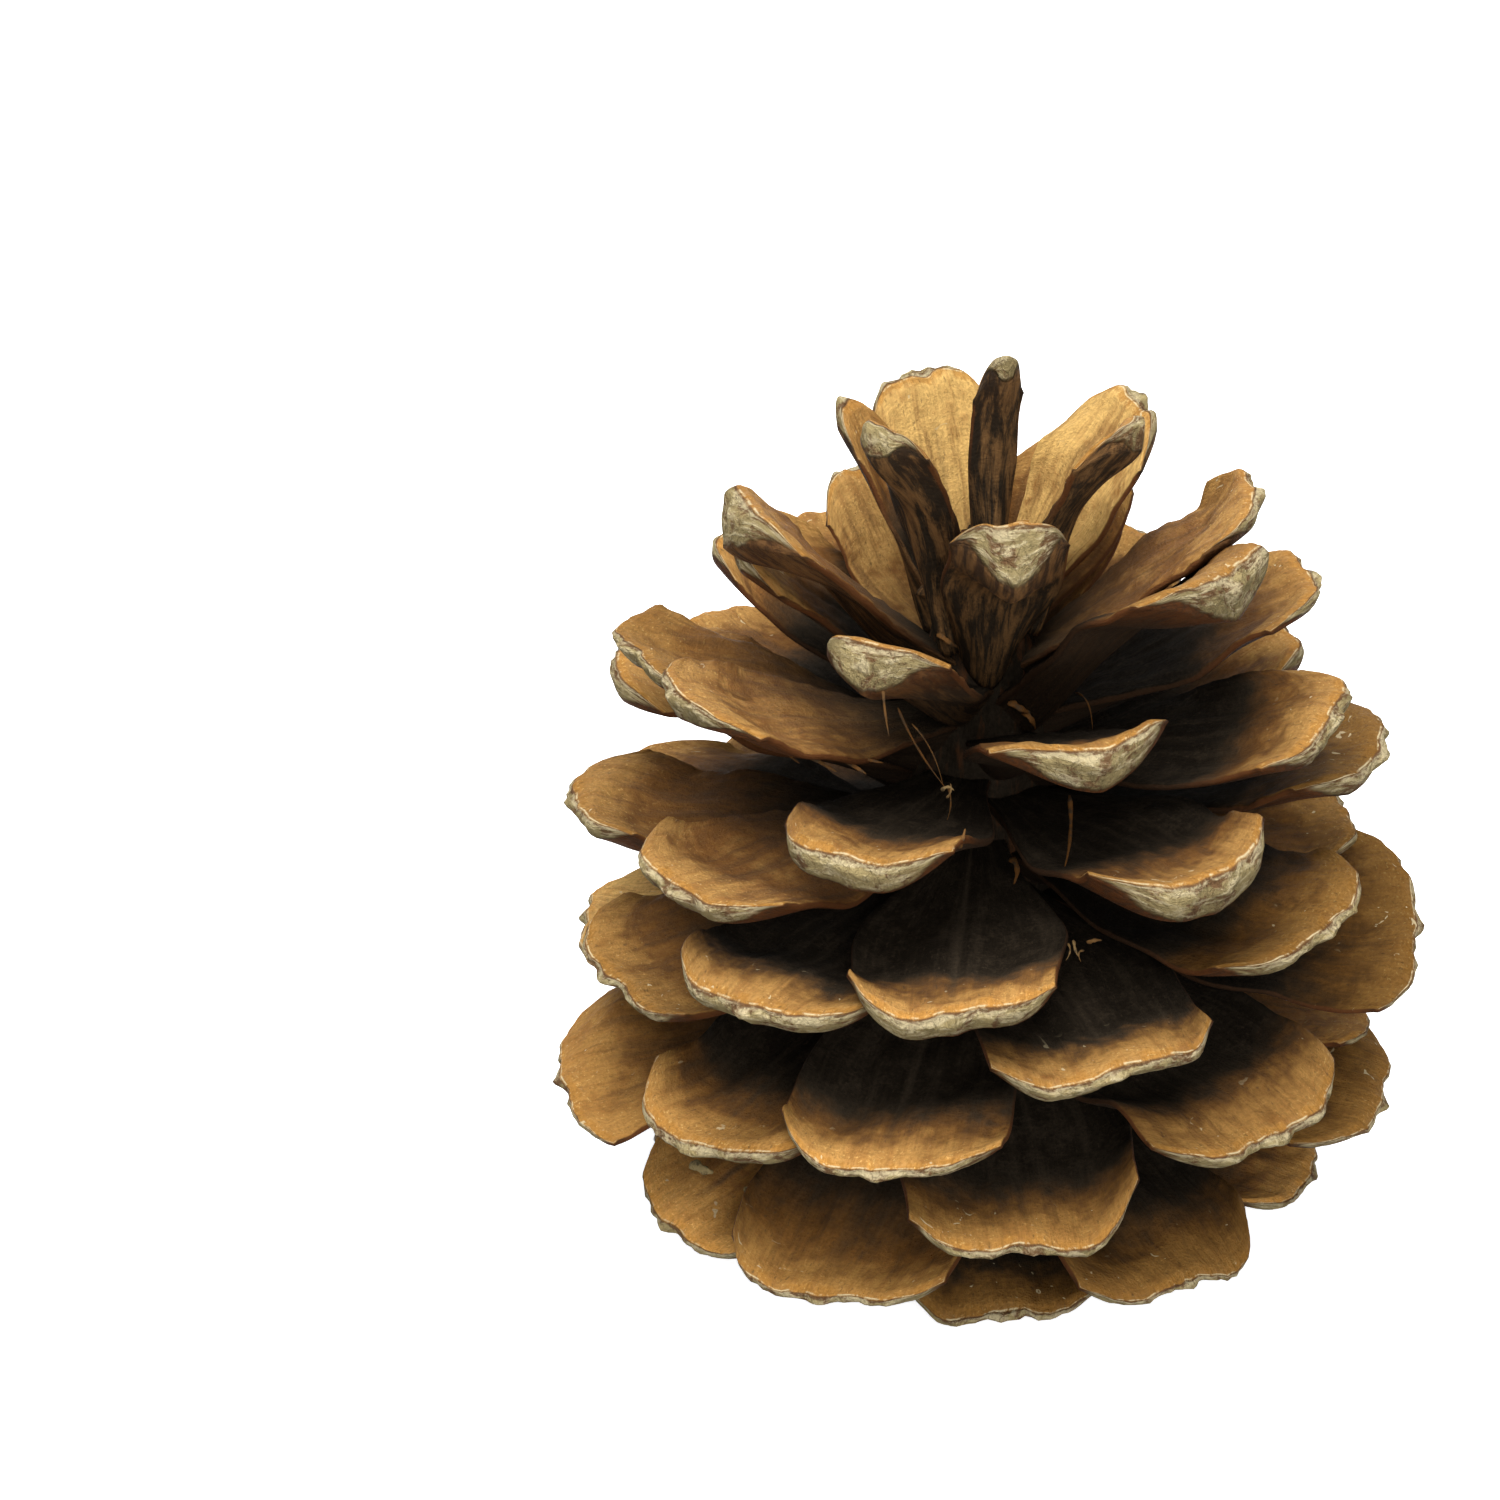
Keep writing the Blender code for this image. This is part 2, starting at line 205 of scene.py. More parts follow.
# Loose fibres, splinters and flakes, read off the photograph one by one: start, bend and
# end in millimetres from the middle of the axis, half the width in millimetres, thickness
# as a share of the width, and paleness
LOOSE_FIBRES = (
    ((-8.6, -23.7, 19.2), (-8.5, -24.2, 17.4), (-8.1, -24.1, 15.3), 0.13, 1.0, 0.1),
    ((-7.3, -19.6, 15.4), (-6.0, -19.8, 11.8), (-3.2, -18.2, 7.3), 0.11, 1.0, 0.0),
    ((-6.2, -19.4, 13.9), (-4.3, -18.8, 11.5), (-3.6, -18.2, 7.6), 0.07, 1.0, 0.1),
    ((-3.3, -18.0, 7.7), (-2.7, -17.9, 6.2), (-3.3, -17.5, 4.2), 0.09, 1.0, 0.05),
    ((-3.8, -18.8, 7.7), (-3.3, -19.0, 8.5), (-2.8, -18.8, 7.7), 0.15, 0.6, 0.5),
    ((-3.4, -18.7, 7.0), (-2.9, -19.1, 7.7), (-3.1, -18.7, 8.3), 0.1, 0.7, 0.35),
    ((6.5, -14.8, 5.1), (6.6, -19.1, 3.6), (5.7, -22.7, 3.0), 0.2, 0.8, 0.0),
    ((7.5, -3.5, 8.4), (8.6, -6.2, 9.6), (8.9, -4.9, 5.7), 0.09, 1.0, 0.0),
    ((6.1, -23.3, -3.4), (6.5, -24.5, -3.3), (5.9, -24.8, -4.1), 0.1, 0.7, 0.35),
    ((6.6, -23.2, -3.2), (6.5, -24.9, -3.0), (6.9, -24.5, -3.9), 0.15, 0.6, 0.45),
    ((7.4, -23.6, -3.9), (6.6, -24.8, -3.1), (7.1, -24.7, -4.3), 0.09, 0.7, 0.25),
    ((7.7, -23.3, -3.4), (8.0, -24.2, -2.5), (8.8, -23.2, -3.2), 0.2, 0.4, 0.15),
    ((-14.6, -11.7, 8.6), (-12.7, -14.3, 9.1), (-9.6, -16.4, 7.9), 0.42, 0.25, 0.05),
    ((-12.7, -12.2, 8.5), (-11.2, -14.5, 8.5), (-8.2, -14.4, 7.8), 0.3, 0.25, 0.0),
    ((-15.8, -11.9, 8.3), (-14.4, -14.6, 8.8), (-11.9, -15.5, 7.6), 0.3, 0.25, 0.1),
    ((-17.3, -11.5, 8.3), (-16.3, -13.0, 8.4), (-14.8, -14.1, 7.6), 0.24, 0.25, 0.0),
    ((-23.5, -11.1, -31.6), (-22.4, -13.4, -31.1), (-21.7, -12.8, -31.4), 0.5, 0.6, 0.9),
    ((-19.0, -14.8, -32.1), (-18.2, -16.6, -30.6), (-17.0, -15.1, -30.6), 0.45, 0.6, 0.9),
    ((2.1, -6.0, 8.9), (2.8, -7.9, 9.2), (3.8, -6.5, 8.1), 0.36, 0.35, 0.0),
    ((3.2, -6.3, 8.1), (3.9, -8.2, 8.5), (4.2, -6.7, 6.7), 0.3, 0.35, 0.0),
    ((-3.7, -5.0, 14.5), (-3.0, -6.8, 14.6), (-2.1, -5.3, 13.4), 0.28, 0.4, 0.05),
    ((2.2, -10.8, -2.8), (3.1, -12.1, -2.7), (2.4, -13.1, -3.9), 0.3, 0.35, 0.0),
    ((-2.7, -25.8, 6.5), (-2.4, -26.4, 7.5), (-2.2, -25.4, 8.0), 0.22, 0.5, 0.1),
)

# The grids that the surfaces are worked out on
STATIONS = 38
COLUMNS = 35
FACE_ROWS = 10
AXIS_STATIONS = 90
AXIS_SIDES = 64
FIBRE_STATIONS = 13
FIBRE_SIDES = 8

# The camera: its slope in degrees, its distance from the axis, its sensor in millimetres,
# its lens in pixels of a 1500 by 1500 frame, and the pixel where the middle of the axis
# falls. The floor reaches as far as FLOOR_REACH on each side.
CAMERA_SLOPE = 28.0
CAMERA_DISTANCE = 0.4
SENSOR_WIDTH = 36.0
FRAME_WIDTH = 1500
FOCAL_PIXELS = 4880.0
MIDDLE_PIXEL = (978.0, 764.0)
FLOOR_REACH = 3.0


# Settings


def length_setting(name, description, default, most):
    """A length that the panel shows."""
    return FloatProperty(
        name=name, description=description, default=default, min=0.0, max=most,
        precision=5, unit="LENGTH",
    )


def colour_setting(name, description, default):
    """A colour that the panel shows."""
    return FloatVectorProperty(
        name=name, description=description, default=default, size=3, min=0.0, max=1.0,
        subtype="COLOR",
    )


def power_setting(name, description, default):
    """A light's power that the panel shows."""
    return FloatProperty(
        name=name, description=description, default=default, min=0.0, soft_max=20.0, unit="POWER",
    )


class ConeForm(bpy.types.PropertyGroup):
    """Fine shape that the growth rule leaves open."""

    edge_wave: length_setting(
        "Edge Wave", "How far the front edges wander from a clean arc",
        0.36 * MM, 2.0 * MM,
    )
    blade_warp: length_setting(
        "Blade Warp", "How far dry blades buckle up and down",
        0.50 * MM, 2.0 * MM,
    )
    face_swell: length_setting(
        "Face Swell", "How far the outer faces swell forward between their edges",
        0.75 * MM, 2.0 * MM,
    )
    button_height: length_setting(
        "Button Height", "Height of the small button in the middle of an outer face",
        0.45 * MM, 1.5 * MM,
    )
    crease_depth: length_setting(
        "Crease Depth", "Depth of the crease down the middle of an upper side",
        0.22 * MM, 1.0 * MM,
    )


class ConeFinish(bpy.types.PropertyGroup):
    """Colours of the weathered wood."""

    gold: colour_setting(
        "Upper Gold", "Dry golden wood behind the front edge of an upper side",
        (0.350, 0.187, 0.055),
    )
    # Also painted light: the paler gold of scales that the light reaches far into, such as the
    # thin crown scales lit from behind
    glow: colour_setting(
        "Crown Glow", "Pale gold of the thin crown scales and of the flecks near an edge",
        (0.53, 0.330, 0.108),
    )
    # Also a part of the painted shade that browns an upper side behind its front edge
    tan: colour_setting(
        "Upper Tan", "Browner patches of an upper side",
        (0.205, 0.089, 0.025),
    )
    rim: colour_setting(
        "Orange Rim", "Orange band along the upper front edge",
        (0.34, 0.160, 0.034),
    )
    ash: colour_setting(
        "Ash Face", "Weathered bark of an outer face",
        (0.36, 0.28, 0.13),
    )
    # Also the painted highlight along the lips of the front edges and of the outer faces
    chalk_and_highlight: colour_setting(
        "Chalk", "Bleached ridges of an outer face and worn lips",
        (0.60, 0.50, 0.30),
    )
    plum: colour_setting(
        "Plum Blotch", "Purple-brown blotches of an outer face",
        (0.13, 0.062, 0.030),
    )
    russet: colour_setting(
        "Russet Margin", "Thin red-brown margins and undersides near them",
        (0.115, 0.042, 0.014),
    )
    bark: colour_setting(
        "Crown Bark", "Light stripes on the backs of the crown scales",
        (0.20, 0.105, 0.040),
    )
    # Also the colour that the painted shade deep inside the scales fades into
    umber: colour_setting(
        "Deep Umber", "Dark wood of the claws, the undersides and the axis",
        (0.042, 0.031, 0.020),
    )


class StudioStage(bpy.types.PropertyGroup):
    """The floor and the lights."""

    paper: colour_setting(
        "Paper", "Colour of the pale floor",
        (0.93, 0.93, 0.93),
    )
    glow: FloatProperty(
        name="Paper Glow", description="Strength of the light that the floor gives off by itself",
        default=0.9, min=0.0, soft_max=2.0,
    )
    key_power: power_setting("Key Power", "Power of the large light above the cone", 6.4)
    fill_power: power_setting("Fill Power", "Power of the weaker light in front of the cone", 2.4)
    back_power: power_setting("Back Power", "Power of the weak light behind the cone", 1.6)
    sky: FloatProperty(
        name="Sky Strength", description="Strength of the even light all round",
        default=0.42, min=0.0, soft_max=3.0,
    )


# Growth rule


def share(index):
    """How far down the cone a scale sits: -1 at the top, 0 in the middle, 1 near the base."""
    return (index - MIDDLE_SCALE) / MIDDLE_SCALE


def tip_radius(index):
    """Distance of a tip from the axis: a hump in t, times a rise over the first scales and a
    fall over the last ones."""
    t = share(index)
    fullest = CONE_RADIUS * (0.963 + 0.239 * t - 0.384 * t * t)
    young = 1.0 - math.exp(-(index + 1.0) / 4.5)
    basal = 1.0 - 0.05 * max(0.0, index - FIRST_RESTING_SCALE)
    return fullest * young * basal


def tip_height(index):
    """Height of a tip above the middle scale's: a falling cubic in t, held level at the base."""
    t = share(index)
    return max((2.8 * t ** 3 - 40.7 * t) * MM, LOWEST_TIP)


def root_height(index):
    """Height on the axis where a scale grows out: a falling line in t."""
    return (-3.5 - 20.5 * share(index)) * MM


def tip_pitch(index):
    """Slope of a scale near its tip, in degrees: a falling parabola in t."""
    t = share(index)
    return 13.0 - 42.0 * t + 14.0 * t * t


def fan_half_width(index):
    """Half the width of a fan: a parabola in t, from sticks at the top to broad fans."""
    t = share(index)
    return (8.1 + 3.4 * t - 2.0 * t * t) * MM


def face_height(index):
    """Thickness of an outer face in the middle: a parabola in t, thickest at the top."""
    t = share(index)
    return (2.5 - 2.5 * t + 1.8 * t * t) * MM


def face_fullness(index):
    """Power that says how squarely an outer face ends: pointed at the top and blunt from the
    middle down, by an S-shaped share of t."""
    return 1.6 + 2.8 * smooth((share(index) + 0.55) / 0.6)


def axis_radius(height):
    """Radius of the axis at a height, straight between the points of its profile."""
    return np.interp(height, AXIS_HEIGHTS, AXIS_RADII)


def smooth(value):
    """An S-shaped step: 3x squared less 2x cubed, with x held between 0 and 1."""
    value = np.clip(value, 0.0, 1.0)
    return value * value * (3.0 - 2.0 * value)


def bell(value, width):
    """A hump of height 1: e to the power of minus the square of value over width."""
    return np.exp(-(value / width) ** 2)


def ripples(x, y, lengths, seed):
    """Uneven relief between about -1 and 1: the mean of sine waves that run at seeded slants
    over x and y, one for each wavelength."""
    draw = np.random.default_rng(seed)
    total = np.zeros(np.broadcast(x, y).shape)
    for length in lengths:
        slant = draw.uniform(0.0, math.tau)
        phase = draw.uniform(0.0, math.tau)
        total += np.sin(math.tau * (x * math.cos(slant) + y * math.sin(slant)) / length + phase)
    return total / math.sqrt(len(lengths))


class Scale:
    """Where one scale grows, how it bends and how broad it is."""

    def __init__(self, index):
        draw = random.Random(SEED + index)
        chance = (
            draw.uniform(-2.5, 2.5),
            draw.uniform(-3.0, 7.0),
            draw.uniform(-0.5, 0.5),
            draw.uniform(-0.6, 0.6),
            draw.uniform(0.95, 1.05),
        )
        turn, roll, reach, lift, breadth = STRAY_SCALES.get(index, chance)
        if index >= FIRST_RESTING_SCALE:
            lift = 0.0
        pitch = draw.uniform(-3.0, 3.0)
        self.index = index
        self.width = fan_half_width(index) * breadth
        face = face_height(index) * draw.uniform(0.9, 1.1)
        self.face = FACE_SHARES.get(index, 1.0) * min(face, 1.35 * self.width)
        self.fullness = float(face_fullness(index))
        self.roll = math.radians(roll)
        angle = math.radians(FRONT_TURN + GOLDEN_ANGLE * (index - MIDDLE_SCALE) + turn)
        self.outward = np.array((math.sin(angle), -math.cos(angle), 0.0))
        self.level = np.array((math.cos(angle), math.sin(angle), 0.0))
        slope = math.radians(tip_pitch(index) + pitch)
        height = root_height(index)
        self.root = self.place(float(axis_radius(height)) * ROOT_DEPTH, height)
        self.tip = self.place(tip_radius(index) + reach * MM, tip_height(index) + lift * MM)
        run = 0.5 * np.linalg.norm(self.tip - self.root)
        up = np.array((0.0, 0.0, math.sin(slope)))
        self.bend = self.tip - run * (self.outward * math.cos(slope) + up)
        self.length = np.linalg.norm(self.bend - self.root) + run
        self.size = min(1.0, self.width / BROAD_HALF_WIDTH)

    def place(self, radius, height):
        """A point at this scale's turn."""
        return self.outward * radius + np.array((0.0, 0.0, height))

    def midrib(self, along):
        """Point, direction, sideways and upper normal along a Bezier curve of degree two. The
        sideways vector is the level one, rolled about the direction by an S-shaped share."""
        along = np.asarray(along)[..., None]
        back = 1.0 - along
        point = (
            back * back * self.root
            + 2.0 * back * along * self.bend
            + along * along * self.tip
        )
        direction = back * (self.bend - self.root) + along * (self.tip - self.bend)
        direction = direction / np.linalg.norm(direction, axis=-1, keepdims=True)
        roll = self.roll * smooth(along / 0.6)
        sideways = self.level * np.cos(roll) + np.cross(direction, self.level) * np.sin(roll)
        return point, direction, sideways, np.cross(direction, sideways)

    def half_width(self, along):
        """A claw's width that grows to the fan's by an S-shaped share."""
        claw = CLAW_HALF_WIDTH * min(1.0, self.width / NARROW_HALF_WIDTH)
        return claw + (self.width - claw) * smooth(along / 0.64)

    def thickness(self, along, across):
        """Edge thickness plus a claw and a front that swell towards the middle, by one less
        a power of across that grows from 1.8 to the outer face's own."""
        claw = CLAW_SWELL * (1.0 - smooth(along / 0.6))
        front = (self.face - BLADE_THICKNESS) * smooth((along - 0.55) / 0.45)
        middle = BLADE_THICKNESS + claw + front
        power = 1.8 + (self.fullness - 1.8) * smooth((along - 0.5) / 0.4)
        return EDGE_THICKNESS + (middle - EDGE_THICKNESS) * (1.0 - np.abs(across) ** power)

    def sides(self, along, across, form):
        """The upper and the lower side as two sheets. Each is the midrib's point moved sideways
        by across times the half-width. The front edge is set back by the fourth power of
        across, more on one side, and by sine waves. The blade is lifted by slow ripples and at
        its corners. The upper side is pressed in by a crease, by two beds where the seeds lay
        and at its worn lip, and the lower side has a keel."""
        draw = random.Random(SEED + EDGE_DRAWS + self.index)
        phase = [draw.uniform(0.0, math.tau) for wave in range(6)]
        waves = (
            np.sin(2.6 * across + phase[0])
            + 0.55 * np.sin(6.1 * across + phase[1])
            + 0.30 * np.sin(13.0 * across + phase[2])
        )
        skew = 1.0 + draw.uniform(-0.35, 0.35) * across
        corner = CORNER_SETBACK * skew * np.abs(across) ** 4 * along ** 3
        nibbles = ripples(across * self.width, 0.0, NIBBLE_WAVES, self.index + NIBBLE_DRAWS)
        wander = form.edge_wave * self.size * (waves + 0.2 * nibbles) * along ** 6
        point, direction, sideways, up = self.midrib(along - (corner + wander) / self.length)
        half = self.half_width(along)
        ragged = 1.0 + 0.035 * np.sin(9.0 * along + phase[3]) * smooth((along - 0.35) / 0.3)
        x, y = across * half, along * self.length
        slow = ripples(x, y, WARP_WAVES, self.index)
        curl = np.sin(11.0 * along + phase[4]) * np.abs(across) ** 3
        warp = form.blade_warp * self.size * smooth((along - 0.3) / 0.5) * (slow + 0.8 * curl)
        lift = CORNER_LIFT * across * across * smooth(along) + warp
        middle = point + sideways * (x * ragged)[..., None]
        shown = smooth((along - 0.35) / 0.2)
        crease = bell(across, 0.09) * smooth((1.0 - along) / 0.25)
        beds = bell(np.abs(across) - 0.42, 0.2) * bell(along - 0.72, 0.16)
        fine = FINE_RELIEF * ripples(x, y, FINE_WAVES, self.index + FINE_DRAWS)
        worn = LIP_WEAR * (1.0 - smooth((1.0 - along) * self.length / LIP_LENGTH))
        pressed = form.crease_depth * crease + SEED_BED_DEPTH * beds
        relief = fine - shown * self.size * pressed - worn
        upper = middle + up * (lift + relief)[..., None]
        front = smooth((along - 0.7) / 0.3) * (1.0 - across * across)
        keel = KEEL_HEIGHT * self.size * shown * bell(across, 0.12)
        under = lift - self.thickness(along, across) - keel
        lower = middle + up * under[..., None] - direction * (FACE_SLOPE * front)[..., None]
        return upper, lower, direction, sideways

    def outer_face(self, top, bottom, direction, form):
        """The face between the two front edges, row by row: a straight share from the top edge
        to the bottom one, pushed forward by a swell, a ridge from side to side, a round button
        in a ring-shaped dent, and cracked bark."""
        rows = np.linspace(0.0, 1.0, FACE_ROWS + 1)[:, None]
        across = np.linspace(-1.0, 1.0, COLUMNS)[None, :]
        height = np.linalg.norm(top - bottom, axis=-1)[None, :]
        x, y = across * self.width, rows * height
        swell = np.sin(math.pi * rows) ** 0.6 * (1.0 - across ** 4) ** 0.5
        room = smooth(height / FULL_FACE)
        ridge = RIDGE_HEIGHT * bell(rows - 0.42, 0.16) * (1.0 - across * across)
        spread = np.hypot(x / BUTTON_HALF_WIDTH, (rows - 0.45) * height / BUTTON_HALF_HEIGHT)
        button = bell(spread, 0.85) - 0.5 * bell(spread - 1.55, 0.35)
        bark = BARK_RELIEF * ripples(x, y, BARK_WAVES, self.index + BARK_DRAWS)
        button_push = form.button_height * button * room
        push = swell * (form.face_swell * room + ridge * room + button_push + bark)
        face = top * (1.0 - rows[..., None]) + bottom * rows[..., None]
        return face + direction * push[..., None]

    def surface(self, form):
        """The closed scale: rings of points round the blade at every station, a swelling face
        over the front ring and a flat one over the root's. Returns the points, the faces, and
        three vectors for each point. Blade holds the millimetres back from the front edge,
        across and turned. Grain is a place in millimetres that follows the wood. Growth holds
        how far down the cone the scale sits, how much lighter or darker the scale is painted,
        partly as its own tone and partly as painted light and shade, and how far in its painted
        light reaches before the painted shade."""
        even = np.linspace(0.0, 1.0, STATIONS)
        stations = 1.0 - (1.0 - even) ** 1.45
        columns = np.linspace(-1.0, 1.0, COLUMNS)
        along, across = np.meshgrid(stations, columns, indexing="ij")
        upper, lower, direction, sideways = self.sides(along, across, form)
        steps = np.arange(1, FACE_ROWS) / FACE_ROWS
        inner = np.linspace(0.0, 1.0, FACE_ROWS + 1)[1:-1]

        def margin(column, side):
            """A narrow strip from the upper to the lower side, rounded by half a sine wave."""
            top, bottom = upper[:, column, None, :], lower[:, column, None, :]
            strip = top * (1.0 - steps[:, None]) + bottom * steps[:, None]
            bulge = MARGIN_BULGE * np.sin(math.pi * steps)[:, None]
            return strip + sideways[:, column, None, :] * (side * bulge)

        rings = np.concatenate(
            (upper, margin(-1, 1.0), lower[:, ::-1], margin(0, -1.0)[:, ::-1]), axis=1
        )
        front = self.outer_face(upper[-1], lower[-1], direction[-1], form)[1:-1, 1:-1]
        rows = inner[:, None, None]
        butt = (upper[0] * (1.0 - rows) + lower[0] * rows)[:, 1:-1]
        points = np.concatenate([part.reshape(-1, 3) for part in (rings, front, butt)])

        ring = rings.shape[1]
        around_across = np.concatenate(
            (columns, np.ones(FACE_ROWS - 1), columns[::-1], -np.ones(FACE_ROWS - 1))
        )
        around_turned = np.concatenate(
            (np.zeros(COLUMNS), steps, np.ones(COLUMNS), steps[::-1])
        )
        cap_shape = front.shape[:2]
        cap_across = np.broadcast_to(columns[None, 1:-1], cap_shape)
        cap_turned = np.broadcast_to(inner[:, None], cap_shape)

        def spread(round_rings, front_cap, root_cap):
            """One number for every point: round the rings, then over the two ends."""
            round_rings = np.broadcast_to(round_rings, (STATIONS, ring))
            return np.concatenate((round_rings.ravel(), front_cap.ravel(), root_cap.ravel()))

        setback = ((1.0 - stations) * self.length)[:, None]
        back = spread(setback, np.zeros(cap_shape), np.full(cap_shape, self.length))
        beside = spread(around_across, cap_across, cap_across)
        turned = spread(around_turned, cap_turned, cap_turned)
        blade = np.stack((back / MM, beside, turned), axis=1)
        grain = np.stack((
            beside * self.width / MM,
            (self.length - back) / MM + 7.0 * self.index,
            turned * self.face / MM + 3.0 * self.index,
        ), axis=1)
        draw = random.Random(SEED + TINT_DRAWS + self.index)
        growth = np.empty_like(grain)
        # Listed scales are painted lighter or darker for the light that falls on them, and their
        # painted light reaches further or less far in; the others get a random tone of their own
        golden, light = SCALE_TINTS.get(self.index, (1.0, 0.9 + 0.2 * draw.random()))
        growth[:] = (share(self.index), light, golden)
        return points, scale_faces(ring), blade, grain, growth


def quads(first, second, third, fourth):
    """Four arrays of point numbers as one list of four-sided faces."""
    return np.stack([corner.ravel() for corner in (first, second, third, fourth)], axis=1)


def scale_faces(ring):
    """Faces of one closed scale: a square net round the rings, and one over each end that
    shares its border with the end's ring."""
    net = np.arange(STATIONS * ring).reshape(STATIONS, ring)
    after = np.roll(net, -1, axis=1)
    parts = [quads(net[:-1], net[1:], after[1:], after[:-1])]
    inner = (FACE_ROWS - 1) * (COLUMNS - 2)
    caps = STATIONS * ring
    for station, first, flip in ((STATIONS - 1, caps, False), (0, caps + inner, True)):
        row = net[station]
        cap = np.empty((FACE_ROWS + 1, COLUMNS), dtype=int)
        cap[0] = row[:COLUMNS]
        cap[1:-1, -1] = row[COLUMNS:COLUMNS + FACE_ROWS - 1]
        cap[-1] = row[COLUMNS + FACE_ROWS - 1:2 * COLUMNS + FACE_ROWS - 1][::-1]
        cap[1:-1, 0] = row[2 * COLUMNS + FACE_ROWS - 1:][::-1]
        cap[1:-1, 1:-1] = first + np.arange(inner).reshape(FACE_ROWS - 1, COLUMNS - 2)
        corners = (cap[:-1, :-1], cap[1:, :-1], cap[1:, 1:], cap[:-1, 1:])
        parts.append(quads(*(corners[::-1] if flip else corners)))
    return np.concatenate(parts)


def lid(ring):
    """Faces that close a ring with an even number of points, laid like the rungs of a ladder."""
    k = np.arange(len(ring) // 2 - 1)
    return np.stack((ring[k], ring[k + 1], ring[-2 - k], ring[-1 - k]), axis=1)


def tube_faces(stations, ring):
    """Faces of a closed tube: a square net round the rings and a lid over each end."""
    net = np.arange(stations * ring).reshape(stations, ring)
    after = np.roll(net, -1, axis=1)
    wall = quads(net[:-1], after[:-1], after[1:], net[1:])
    return np.concatenate((wall, lid(net[-1]), lid(net[0][::-1])))


def fibre_surface(start, bend, end, half_width, flatness):
    """A tapering fibre: an ellipse carried along a Bezier curve of degree two. Its size falls
    with the square root of what is left of the curve, wavers by a sine wave and is halved at
    the start."""
    start, bend, end = (np.array(point) * MM for point in (start, bend, end))
    along = np.linspace(0.0, 1.0, FIBRE_STATIONS)[:, None]
    path = (1.0 - along) ** 2 * start + 2.0 * along * (1.0 - along) * bend + along * along * end
    tangent = np.gradient(path, axis=0)
    tangent = tangent / np.linalg.norm(tangent, axis=1, keepdims=True)
    side = np.cross(tangent, (0.25, -0.80, 0.55))
    side = side / np.linalg.norm(side, axis=1, keepdims=True)
    other = np.cross(tangent, side)
    turn = np.linspace(0.0, math.tau, FIBRE_SIDES, endpoint=False)[None, :, None]
    taper = 0.08 + 0.92 * np.sqrt(1.0 - along)
    size = half_width * MM * taper * (1.0 + 0.2 * np.sin(14.0 * along))
    size[0] *= 0.5
    ellipse = side[:, None] * np.cos(turn) + other[:, None] * np.sin(turn) * flatness
    return (path[:, None] + ellipse * size[:, None]).reshape(-1, 3)


def add_piece(name, points, faces, vectors, material):
    """Puts a surface into the scene as a smooth mesh at the origin, with its vectors as point
    attributes, and lets it ride on the cone and stand for its solid."""
    points = points + np.array((AXIS_SHIFT, 0.0, MIDDLE_HEIGHT))
    points[:, 2] = np.maximum(points[:, 2], 0.0)
    mesh = bpy.data.meshes.new(name)
    mesh.vertices.add(len(points))
    mesh.vertices.foreach_set("co", points.astype(np.float32).ravel())
    mesh.loops.add(faces.size)
    mesh.loops.foreach_set("vertex_index", faces.astype(np.int32).ravel())
    mesh.polygons.add(len(faces))
    mesh.polygons.foreach_set("loop_start", np.arange(0, faces.size, 4, dtype=np.int32))
    mesh.update(calc_edges=True)
    mesh.validate()
    for key, values in vectors.items():
        attribute = mesh.attributes.new(key, "FLOAT_VECTOR", "POINT")
        attribute.data.foreach_set("vector", values.astype(np.float32).ravel())
    mesh.shade_smooth()
    mesh.materials.append(material)
    piece = bpy.data.objects.new(name, mesh)
    bpy.context.scene.collection.objects.link(piece)
    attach(piece, "root")
    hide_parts("pine_cone")
    return piece


def add_scales(name, indices):
    """Joins the closed surfaces of several scales into one piece of the scale wood, which is
    made once."""
    scene = bpy.context.scene
    wood = bpy.data.materials.get("scale_wood") or scale_wood(scene.cone_finish)
    parts = [Scale(index).surface(scene.cone_form) for index in indices]
    starts = np.cumsum([0] + [len(part[0]) for part in parts[:-1]])
    points = np.concatenate([part[0] for part in parts])
    faces = np.concatenate([part[1] + start for part, start in zip(parts, starts)])
    vectors = {
        "blade": np.concatenate([part[2] for part in parts]),
        "grain": np.concatenate([part[3] for part in parts]),
        "growth": np.concatenate([part[4] for part in parts]),
    }
    return add_piece(name, points, faces, vectors, wood)


# Materials

# How deep the bumps are, and how much the dry wood shines
BUMP_DEPTH = 0.4 * MM
STRAW_BUMP_DEPTH = 0.2 * MM
DULL = 0.03


def both_ways(operation):
    """An operator's two methods, with the socket on the left and on the right."""

    def left(self, other):
        return self.maths(operation, self, other)

    def right(self, other):
        return self.maths(operation, other, self)

    return left, right


class Socket:
    """One output of a node. Python's operators on it add Math nodes, and a number may stand
    on either side."""

    def __init__(self, paint, socket):
        self.paint = paint
        self.socket = socket

    def maths(self, operation, *values):
        """A Math node on these values."""
        sockets = dict(enumerate(values))
        return self.paint.node("ShaderNodeMath", {"operation": operation}, sockets)

    __add__, __radd__ = both_ways("ADD")
    __sub__, __rsub__ = both_ways("SUBTRACT")
    __mul__, __rmul__ = both_ways("MULTIPLY")
    __truediv__, __rtruediv__ = both_ways("DIVIDE")

    def __abs__(self):
        return self.maths("ABSOLUTE", self)


